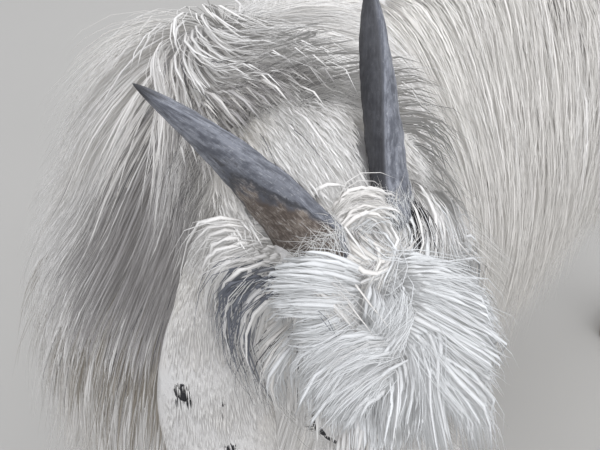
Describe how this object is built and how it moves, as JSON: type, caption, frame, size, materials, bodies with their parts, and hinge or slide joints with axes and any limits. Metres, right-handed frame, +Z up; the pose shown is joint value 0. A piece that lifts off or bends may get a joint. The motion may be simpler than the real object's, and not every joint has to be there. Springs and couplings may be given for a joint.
{
  "type": "long-haired domestic goat",
  "caption": "Life-size long-haired goat with horns and drooping ears, standing with its neck turned to its left and its head hung low",
  "frame": {"origin": "on the floor, under the middle of the goat's box", "axes": "+Z up, the goat faces -Y, its left side is towards +X"},
  "size_m": [0.452, 0.871, 0.7526],
  "materials": {
    "coat": "long wavy off-white hair",
    "leg": "short cream hair",
    "horn": "slate-grey horn, satin, fine fibres along it",
    "hoof": "dark horn, satin",
    "eye": "wet and glossy"
  },
  "bodies": {
    "root": {"head": "coat", "eye_left": "eye", "eye_right": "eye", "ear_left": "coat", "ear_right": "coat", "horn_left": "horn", "horn_right": "horn", "neck": "coat", "chest": "coat", "barrel": "coat", "rump": "coat", "tail": "coat", "foreleg_left": "leg", "foreleg_right": "leg", "hindleg_left": "leg", "hindleg_right": "leg", "claw_foreleg_left_inner": "hoof", "claw_foreleg_left_outer": "hoof", "claw_foreleg_right_inner": "hoof", "claw_foreleg_right_outer": "hoof", "claw_hindleg_left_inner": "hoof", "claw_hindleg_left_outer": "hoof", "claw_hindleg_right_inner": "hoof", "claw_hindleg_right_outer": "hoof"}
  },
  "joints": []
}
